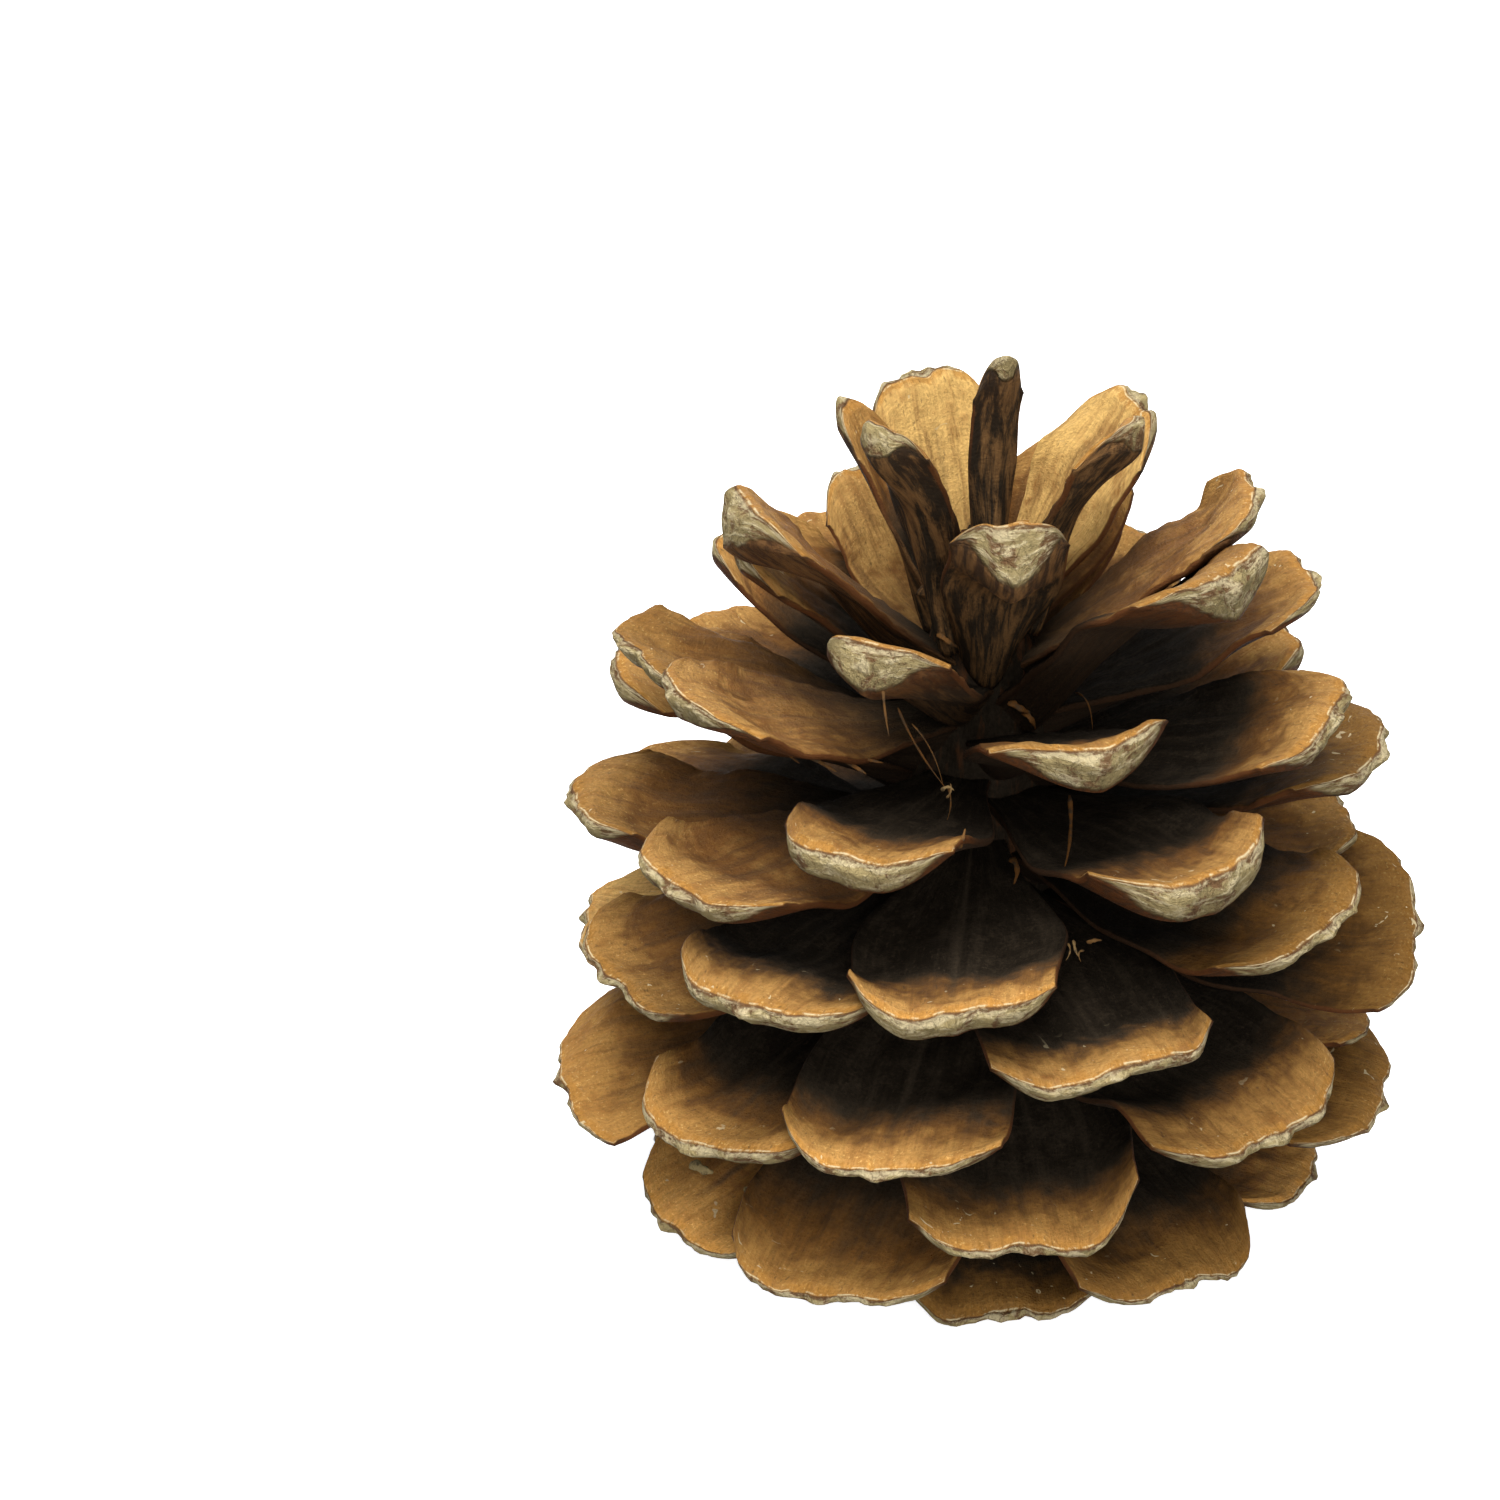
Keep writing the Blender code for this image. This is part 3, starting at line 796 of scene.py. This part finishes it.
class Paint:
    """One material and the nodes that colour it."""

    def __init__(self, name):
        self.material = bpy.data.materials.new(name)
        self.material.use_nodes = True
        self.tree = self.material.node_tree
        self.shader = self.tree.nodes["Principled BSDF"]

    def node(self, kind, settings, sockets, output=0):
        """Adds a node: its settings first, then a number, a colour or a link for each socket."""
        node = self.tree.nodes.new(kind)
        for key, value in settings.items():
            setattr(node, key, value)
        for key, value in sockets.items():
            if isinstance(value, Socket):
                self.tree.links.new(value.socket, node.inputs[key])
            else:
                node.inputs[key].default_value = value
        return Socket(self, node.outputs[output])

    def attribute(self, name):
        """A vector that the mesh carries."""
        return self.node("ShaderNodeAttribute", {"attribute_name": name}, {}, "Vector")

    def part(self, vector, axis):
        """One number of a vector."""
        return self.node("ShaderNodeSeparateXYZ", {}, {0: vector}, axis)

    def vector_maths(self, operation, sockets):
        """A Vector Math node."""
        return self.node("ShaderNodeVectorMath", {"operation": operation}, sockets)

    def stretch(self, vector, x, y, z):
        """A vector with each number multiplied."""
        return self.vector_maths("MULTIPLY", {0: vector, 1: (x, y, z)})

    def step(self, value, low, high):
        """An S-shaped step from 0 at low to 1 at high, which may be the smaller one."""
        sockets = {"Value": value, "From Min": low, "From Max": high}
        return self.node("ShaderNodeMapRange", {"interpolation_type": "SMOOTHSTEP"}, sockets)

    def noise(self, vector, scale, detail=3.0, roughness=0.55, distortion=0.0):
        """Noise between 0 and 1."""
        sockets = {
            "Vector": vector, "Scale": scale, "Detail": detail,
            "Roughness": roughness, "Distortion": distortion,
        }
        return self.node("ShaderNodeTexNoise", {}, sockets)

    def shake(self, vector, scale, amount):
        """A vector moved about by noise."""
        sockets = {"Vector": vector, "Scale": scale}
        drift = self.node("ShaderNodeTexNoise", {}, sockets, "Color")
        moved = self.vector_maths("SCALE", {0: drift, "Scale": amount})
        return self.vector_maths("ADD", {0: vector, 1: moved})

    def cracks(self, vector, scale):
        """Distance from the borders of uneven cells."""
        settings = {"feature": "DISTANCE_TO_EDGE"}
        return self.node("ShaderNodeTexVoronoi", settings, {"Vector": vector, "Scale": scale})

    def mix(self, amount, first, second):
        """The second colour over the first. A Mix node's colours are its sockets 6 and 7."""
        under, over = (
            value if isinstance(value, Socket) else (*value, 1.0) for value in (first, second)
        )
        return self.node("ShaderNodeMix", {"data_type": "RGBA"}, {0: amount, 6: under, 7: over}, 2)

    def tone(self, colour, strength):
        """A colour made lighter or darker by a number."""
        colour = colour if isinstance(colour, Socket) else tuple(colour)
        return self.vector_maths("SCALE", {0: colour, "Scale": strength})

    def finish(self, colour, roughness, height, relief, **constants):
        """Links what varies to the shader and sets what does not."""
        sockets = {"Height": height, "Distance": relief, "Strength": 1.0}
        bump = self.node("ShaderNodeBump", {}, sockets)
        self.tree.links.new(colour.socket, self.shader.inputs["Base Color"])
        self.tree.links.new(roughness.socket, self.shader.inputs["Roughness"])
        self.tree.links.new(bump.socket, self.shader.inputs["Normal"])
        for key, value in constants.items():
            self.shader.inputs[key.replace("_", " ")].default_value = value
        return self.material


class ScaleWood(Paint):
    """Weathered scale wood, made up of an upper side, an underside and an outer face. Back is
    the distance from the front edge in millimetres, and depth the same with uneven borders,
    divided by how far the painted light reaches on each scale and increased low on the cone.
    Depth sets where the painted shade falls."""

    def __init__(self, finish):
        super().__init__("scale_wood")
        self.tints = finish
        blade, grain, growth = (self.attribute(name) for name in ("blade", "grain", "growth"))
        self.grain = grain
        self.back, self.across, self.turned = (self.part(blade, axis) for axis in ("X", "Y", "Z"))
        self.place, self.light, self.golden = (self.part(growth, axis) for axis in ("X", "Y", "Z"))
        self.fibres = self.noise(self.stretch(grain, 3.2, 0.35, 1.0), 1.0, 4.0, 0.7)
        self.veins = self.noise(self.stretch(grain, 0.8, 0.07, 1.0), 1.0, 3.0, 0.6)
        self.blotch = self.noise(grain, 0.30, 5.0, 0.62, 0.3)
        self.stain = self.noise(grain, 0.75, 6.0, 0.72)
        self.speck = self.noise(grain, 3.0, 4.0, 0.7)
        self.low = self.step(self.place, 0.15, 0.75)
        # Depth sets where the painted shade falls: it grows more slowly where the painted light
        # reaches far in, and faster low on the cone
        inwards = self.back + (self.blotch - 0.5) * 6.0 + (self.stain - 0.5) * 3.0
        self.depth = inwards / self.golden + self.low * 1.6
        self.ragged = (self.stain - 0.5) * 0.26

    def golden_wood(self, shaded_scale):
        """Gold with browner patches that reach further in on the shaded scales as painted shade,
        a paler gold as painted light where the light reaches far into a scale, and more orange
        low on the cone and on the scales that are painted darker.
        """
        tints, veins = self.tints, self.veins
        # Painted light: paler gold on scales that the light reaches far into
        gold = self.mix(self.step(self.golden, 2.4, 3.0), tints.gold, tints.glow)
        gold = self.mix(self.step(veins, 0.46, 0.64) * 0.5, gold, tints.tan)
        # Painted shade: browner patches further back on the shaded scales
        far = self.step(self.back, 1.5, 7.0) * shaded_scale
        patches = self.blotch * 0.6 + self.stain * 0.5 + far * 0.26
        gold = self.mix(self.step(patches, 0.53, 0.76), gold, tints.tan)
        gold = self.mix(self.low * 0.35, gold, tints.rim)
        # More orange on the scales that are painted darker for the light that falls on them
        return self.mix(self.step(self.light, 0.95, 0.45) * 0.5, gold, tints.rim)

    def upper_side(self):
        """Gold that browns and darkens inwards as painted shade, with blotchy painted shade
        behind the edge of the shaded scales, veins, a dark crease, an orange rim, pores and pale
        flecks, all made lighter or darker by how light the scale is painted."""
        tints, back, depth, stain = self.tints, self.back, self.depth, self.stain
        # 1 on the scales where the painted light reaches only a little way in, which take more
        # painted shade
        shaded_scale = self.step(self.golden, 3.2, 1.4)
        gold = self.golden_wood(shaded_scale)
        # Painted shade: the gold browns, then fades to umber and near black deeper inside
        shaded_gold = self.tone(self.mix(0.4, gold, tints.tan), 0.66)
        brown = self.mix(self.step(depth, 1.2, 8.0), gold, shaded_gold)
        upper = self.mix(self.step(depth, 5.0, 11.5), brown, tints.umber)
        upper = self.tone(upper, 1.0 - self.step(depth, 7.0, 13.0) * 0.70)
        # Painted shade in blotches behind the front edge of the shaded scales
        shade_patches = self.step(stain * 0.6 + self.blotch * 0.5, 0.52, 0.68) * self.step(back, 0.8, 4.0)
        upper = self.mix(shade_patches * shaded_scale * 0.32, upper, tints.umber)
        veined = self.step(self.veins, 0.48, 0.66) * self.step(back, 1.0, 5.0)
        upper = self.mix(veined * 0.3, upper, tints.umber)
        crease = self.step(abs(self.across), 0.07, 0.0) * self.step(back, 1.5, 6.0)
        upper = self.mix(crease * self.step(self.light, 0.85, 1.15) * 0.6, upper, tints.umber)
        rim = self.step(back + (stain - 0.5) * 3.5, 0.7, 0.1)
        upper = self.mix(rim * 0.7, upper, tints.rim)
        pores = self.noise(self.stretch(self.grain, 2.4, 0.9, 1.0), 1.5, 3.0, 0.6)
        upper = self.mix(self.step(pores, 0.60, 0.72) * 0.5, upper, tints.umber)
        pale = self.step(self.noise(self.grain, 3.6, 2.0, 0.5), 0.62, 0.70)
        upper = self.mix(pale * self.step(depth, 5.0, 1.0) * 0.6, upper, tints.glow)
        coarse, fine = (self.step(noise, 0.34, 0.66) for noise in (self.fibres, self.speck))
        uneven = coarse * 0.18 + fine * 0.34
        # The whole upper side lighter or darker by the scale's own tone and its painted light
        return self.tone(upper, (0.75 + uneven) * self.light)

    def under_side(self):
        """Red-brown at the front and darker inwards, partly as darker wood and partly as painted
        shade, and striped with bark at the crown.
        """
        tints, depth = self.tints, self.depth
        # Darker inwards: partly darker wood, partly painted shade
        under = self.tone(tints.russet, 0.66 - self.step(depth, 0.5, 6.0) * 0.36)
        dark_wood_and_shade = self.tone(tints.umber, 0.1 + self.speck * 0.9)
        under = self.mix(self.step(self.fibres, 0.40, 0.66) * 0.6, under, dark_wood_and_shade)
        # More painted shade deeper inside, over the darker wood
        under = self.mix(self.step(depth, 3.0, 9.0) * 0.7, under, dark_wood_and_shade)
        bark = self.noise(self.stretch(self.grain, 1.3, 0.16, 0.4), 1.0, 5.0, 0.7, 0.4)
        striped = self.mix(self.step(bark, 0.42, 0.64), dark_wood_and_shade, tints.bark)
        return self.mix(self.step(self.place, -0.45, -0.85) * 0.85, under, striped)

    def blade_wood(self):
        """The upper side and the underside, with a red-brown margin between them that fades out
        deep inside, where the sides are painted dark as shade.
        """
        turned = self.turned
        wood = self.mix(self.step(turned, 0.06, 0.22), self.upper_side(), self.under_side())
        between = self.step(turned, 0.02, 0.2) * self.step(turned, 0.98, 0.8)
        margin = between * self.step(self.back, 0.5, 2.0)
        # The margin fades out where the painted shade deep inside falls
        margin = margin * (1.0 - self.step(self.depth, 5.0, 12.0) * 0.85)
        return self.mix(margin * 0.8, wood, self.tints.russet)

    def face_mask(self):
        """1 on the outer face, which reaches less far across at its lower side and at the
        crown, and ends in ragged borders."""
        turned, ragged, place = self.turned, self.ragged, self.place
        above = self.step(turned + ragged * 0.5, 0.05, 0.16)
        shown = above * self.step(turned + ragged, 0.99, 0.90)
        limit = 0.94 - self.step(place, -0.80, -0.90) * 0.20
        limit = limit - turned * turned * (0.06 + self.step(place, 0.1, -0.5) * 0.42)
        inside = self.step(abs(self.across) + ragged - limit, 0.06, -0.06)
        return shown * self.step(self.back, 1.1, 0.15) * inside

    def ashen_bark(self, layers, split):
        """The outer face's ash grey, with purple-brown blotches, bleached layers and cracks,
        lighter along its upper part as painted light and darker at its lower edge as painted
        shade.
        """
        tints, turned, speck = self.tints, self.turned, self.speck
        darker = self.tone(tints.ash, 0.55)
        ash = self.mix(self.step(self.blotch, 0.42, 0.62) * 0.8, tints.ash, darker)
        patch = self.noise(self.grain, 0.60, 5.0, 0.68, 0.6)
        band = self.step(turned + self.ragged, 0.30, 0.10)
        ash = self.mix(self.step(patch + band * 0.18, 0.50, 0.60) * 0.85, ash, tints.plum)
        # Bleached layers, which lean a little towards the upper lip as a painted highlight
        worn = layers + speck * 0.3 + self.step(turned, 0.5, 0.12) * 0.08
        ash = self.mix(self.step(worn, 0.62, 0.80) * 0.75, ash, tints.chalk_and_highlight)
        cracked = self.step(split, 0.06, 0.0) * self.step(self.stain, 0.42, 0.64)
        ash = self.mix(cracked * 0.45, ash, tints.plum)
        # Painted light and shade: the upper part of the face lighter, its lower edge darker
        return self.tone(ash, 0.26 + speck * 0.85 + self.step(turned, 1.0, 0.55) * 0.35)

    def seam_highlight_and_resin(self, colour):
        """A dark seam and a painted highlight along the lip of the front edge, and pale spots of
        resin.
        """
        tints, turned, back, stain = self.tints, self.turned, self.back, self.stain
        seam = self.step(abs(turned - 0.10), 0.06, 0.0) * self.step(back, 0.6, 0.0)
        colour = self.mix(seam * self.step(stain, 0.58, 0.46) * 0.8, colour, tints.plum)
        # Painted highlight: a pale line along the lip of the front edge
        lip = self.step(abs(turned - 0.04), 0.045, 0.0) * self.step(back, 0.6, 0.0)
        colour = self.mix(lip * self.step(stain, 0.45, 0.58) * 0.85, colour, tints.chalk_and_highlight)
        resin = self.step(self.noise(self.grain, 0.8, 2.0, 0.5, 1.2), 0.70, 0.74)
        spots = resin * self.step(back, 7.0, 2.0) * self.step(turned, 0.3, 0.1)
        return self.mix(spots * 0.7, colour, tints.chalk_and_highlight)


def scale_wood(finish):
    """Gold above that darkens inwards as painted shade, an ash-grey outer face with cracks,
    blotches, painted light and a painted highlight along its lip, and undersides that are
    red-brown at the front and darker inwards, partly as darker wood and partly as painted shade."""
    wood = ScaleWood(finish)
    layers = wood.noise(wood.stretch(wood.grain, 0.5, 0.0, 1.5), 1.0, 4.0, 0.6, 0.5)
    split = wood.cracks(wood.shake(wood.grain, 1.6, 1.3), 1.15)
    face = wood.face_mask()
    colour = wood.mix(face, wood.blade_wood(), wood.ashen_bark(layers, split))
    colour = wood.seam_highlight_and_resin(colour)
    fibres, speck = wood.fibres, wood.speck
    deep = wood.step(wood.depth, 5.0, 12.0)
    roughness = 0.60 + (fibres - 0.5) * 0.25 + face * 0.20 + deep * 0.25
    bumps = layers * 1.2 + speck * 0.9 - wood.step(split, 0.09, 0.0) * 0.25
    height = fibres * 0.30 + speck * 0.35 + wood.stain * 0.5 + wood.veins * 0.8 + face * bumps
    return wood.finish(colour, roughness, height, BUMP_DEPTH, Specular_IOR_Level=DULL)


def inner_wood(finish):
    """Dark speckled wood of the axis, with red-brown fibres."""
    paint = Paint("axis_wood")
    place = paint.node("ShaderNodeTexCoord", {}, {}, "Object")
    fibres = paint.noise(paint.stretch(place, 900.0, 900.0, 160.0), 1.0, 4.0, 0.6)
    speck = paint.noise(place, 2600.0, 3.0, 0.7)
    dark = paint.tone(finish.umber, 0.05 + speck * 0.8)
    colour = paint.mix(paint.step(fibres, 0.52, 0.72) * 0.5, dark, finish.russet)
    roughness = 0.75 + fibres * 0.1
    return paint.finish(colour, roughness, fibres, BUMP_DEPTH, Specular_IOR_Level=DULL)


def straw(finish):
    """Dry fibres, from brown to pale by the number that each one carries, with darker
    stretches."""
    paint = Paint("straw")
    pale = paint.part(paint.attribute("growth"), "X")
    place = paint.node("ShaderNodeTexCoord", {}, {}, "Object")
    worn = paint.noise(place, 1400.0, 3.0, 0.6)
    colour = paint.mix(pale, finish.tan, finish.ash)
    colour = paint.tone(colour, 0.5 + pale * 0.4)
    colour = paint.mix(paint.step(worn, 0.45, 0.65) * 0.8, colour, finish.umber)
    roughness = 0.7 + worn * 0.1
    return paint.finish(colour, roughness, worn, STRAW_BUMP_DEPTH, Specular_IOR_Level=DULL)


# Operators


class AddAxis(bpy.types.Operator):
    """Adds the woody axis that the scales grow from"""

    bl_idname = "pine_cone.add_axis"
    bl_label = "Axis"

    def execute(self, context):
        # A turned surface: the profile's radius at each height, ridged by two sine waves
        height = np.linspace(AXIS_HEIGHTS[0], AXIS_HEIGHTS[-1], AXIS_STATIONS)[:, None]
        turn = np.linspace(0.0, math.tau, AXIS_SIDES, endpoint=False)[None, :]
        twist = np.sin(9.0 * turn + height / (1.6 * MM))
        ridges = AXIS_RIDGE * twist * np.cos(height / (1.1 * MM))
        radius = axis_radius(height) + ridges
        x, y = radius * np.cos(turn), radius * np.sin(turn)
        points = np.stack((x, y, np.broadcast_to(height, x.shape)), axis=-1).reshape(-1, 3)
        wood = inner_wood(context.scene.cone_finish)
        add_piece("cone_axis", points, tube_faces(*x.shape), {}, wood)
        return {"FINISHED"}


class AddCrownScales(bpy.types.Operator):
    """Adds the narrow upright scales at the top"""

    bl_idname = "pine_cone.add_crown_scales"
    bl_label = "Crown Scales"

    def execute(self, context):
        add_scales("crown_scales", range(FIRST_UPPER_SCALE))
        return {"FINISHED"}


class AddUpperScales(bpy.types.Operator):
    """Adds the rising scales above the middle"""

    bl_idname = "pine_cone.add_upper_scales"
    bl_label = "Upper Scales"

    def execute(self, context):
        add_scales("upper_scales", range(FIRST_UPPER_SCALE, MIDDLE_SCALE))
        return {"FINISHED"}


class AddMiddleScales(bpy.types.Operator):
    """Adds the broad level scales round the middle"""

    bl_idname = "pine_cone.add_middle_scales"
    bl_label = "Middle Scales"

    def execute(self, context):
        add_scales("middle_scales", range(MIDDLE_SCALE, FIRST_LOWER_SCALE))
        return {"FINISHED"}


class AddLowerScales(bpy.types.Operator):
    """Adds the drooping scales that the cone stands on"""

    bl_idname = "pine_cone.add_lower_scales"
    bl_label = "Lower Scales"

    def execute(self, context):
        add_scales("lower_scales", range(FIRST_LOWER_SCALE, SCALE_COUNT))
        return {"FINISHED"}


class AddLooseFibres(bpy.types.Operator):
    """Adds the frayed fibres, splinters and pale flakes among the scales"""

    bl_idname = "pine_cone.add_loose_fibres"
    bl_label = "Loose Fibres"

    def execute(self, context):
        tubes = [fibre_surface(*fibre[:5]) for fibre in LOOSE_FIBRES]
        one = tube_faces(FIBRE_STATIONS, FIBRE_SIDES)
        faces = np.concatenate([one + len(tubes[0]) * number for number in range(len(tubes))])
        paleness = np.repeat([fibre[5] for fibre in LOOSE_FIBRES], len(tubes[0]))
        vectors = {"growth": np.stack((paleness, 0.0 * paleness, 0.0 * paleness), axis=1)}
        dry = straw(context.scene.cone_finish)
        add_piece("loose_fibres", np.concatenate(tubes), faces, vectors, dry)
        return {"FINISHED"}


class AddStage(bpy.types.Operator):
    """Adds the pale floor, the soft lights and the camera"""

    bl_idname = "pine_cone.add_stage"
    bl_label = "Stage"

    def execute(self, context):
        scene = context.scene
        stage = scene.studio_stage
        mesh = bpy.data.meshes.new("floor")
        side = FLOOR_REACH
        corners = [(-side, -side, 0.0), (side, -side, 0.0), (side, side, 0.0), (-side, side, 0.0)]
        mesh.from_pydata(corners, [], [(0, 1, 2, 3)])
        floor = bpy.data.objects.new("floor", mesh)
        scene.collection.objects.link(floor)
        paper = bpy.data.materials.new("paper")
        paper.use_nodes = True
        shader = paper.node_tree.nodes["Principled BSDF"]
        shader.inputs["Base Color"].default_value = (*stage.paper, 1.0)
        shader.inputs["Roughness"].default_value = 0.9
        shader.inputs["Emission Color"].default_value = (*stage.paper, 1.0)
        shader.inputs["Emission Strength"].default_value = stage.glow
        mesh.materials.append(paper)
        floor.visible_diffuse = False

        world = bpy.data.worlds.new("studio")
        world.use_nodes = True
        background = world.node_tree.nodes["Background"]
        background.inputs["Color"].default_value = (1.0, 1.0, 1.0, 1.0)
        background.inputs["Strength"].default_value = stage.sky
        scene.world = world
        scene.view_settings.view_transform = "Standard"

        middle = Vector((AXIS_SHIFT, 0.0, MIDDLE_HEIGHT))
        for name, place, width, power in (
            ("key", (-0.08, -0.16, 0.60), 0.50, stage.key_power),
            ("fill", (0.10, -0.55, 0.22), 0.40, stage.fill_power),
            ("back", (-0.05, 0.55, 0.30), 0.40, stage.back_power),
        ):
            light = bpy.data.lights.new(name, "AREA")
            light.energy = power
            light.size = width
            lamp = bpy.data.objects.new(name, light)
            lamp.location = place
            lamp.rotation_euler = (middle - lamp.location).to_track_quat("-Z", "Y").to_euler()
            scene.collection.objects.link(lamp)

        slope = math.radians(CAMERA_SLOPE)
        forward = Vector((0.0, math.cos(slope), -math.sin(slope)))
        right = Vector((1.0, 0.0, 0.0))
        above = right.cross(forward)
        across = MIDDLE_PIXEL[0] - FRAME_WIDTH / 2
        rise = FRAME_WIDTH / 2 - MIDDLE_PIXEL[1]
        offset = right * across + above * rise
        place = middle - CAMERA_DISTANCE * (forward + offset / FOCAL_PIXELS)
        lens = bpy.data.cameras.new("camera")
        lens.sensor_width = SENSOR_WIDTH
        lens.lens = SENSOR_WIDTH * FOCAL_PIXELS / FRAME_WIDTH
        lens.clip_start = 0.01
        camera = bpy.data.objects.new("camera", lens)
        turn = Matrix((right, above, -forward)).transposed()
        camera.matrix_world = Matrix.Translation(place) @ turn.to_4x4()
        scene.collection.objects.link(camera)
        scene.camera = camera
        return {"FINISHED"}


class PineConePanel(bpy.types.Panel):
    """Buttons and settings of the cone"""

    bl_idname = "VIEW3D_PT_pine_cone"
    bl_label = "Pine Cone"
    bl_space_type = "VIEW_3D"
    bl_region_type = "UI"
    bl_category = "Pine Cone"

    def draw(self, context):
        scene = context.scene
        for operator in OPERATORS:
            self.layout.operator(operator.bl_idname)
        for group in (scene.cone_form, scene.cone_finish, scene.studio_stage):
            box = self.layout.box()
            for key in group.__annotations__:
                box.prop(group, key)


OPERATORS = (
    AddAxis, AddCrownScales, AddUpperScales, AddMiddleScales, AddLowerScales,
    AddLooseFibres, AddStage,
)
GROUPS = {"cone_form": ConeForm, "cone_finish": ConeFinish, "studio_stage": StudioStage}


def register():
    """Registers every class and hangs the settings on the scene."""
    for cls in (*GROUPS.values(), *OPERATORS, PineConePanel):
        bpy.utils.register_class(cls)
    for key, group in GROUPS.items():
        setattr(bpy.types.Scene, key, PointerProperty(type=group))


def unregister():
    """Takes the settings and the classes away again."""
    for key in GROUPS:
        delattr(bpy.types.Scene, key)
    for cls in reversed((*GROUPS.values(), *OPERATORS, PineConePanel)):
        bpy.utils.unregister_class(cls)


def main():
    """Builds the cone and its stage."""
    register()
    bpy.ops.pine_cone.add_axis()
    bpy.ops.pine_cone.add_crown_scales()
    bpy.ops.pine_cone.add_upper_scales()
    bpy.ops.pine_cone.add_middle_scales()
    bpy.ops.pine_cone.add_lower_scales()
    bpy.ops.pine_cone.add_loose_fibres()
    bpy.ops.pine_cone.add_stage()


if __name__ == "__main__":
    main()
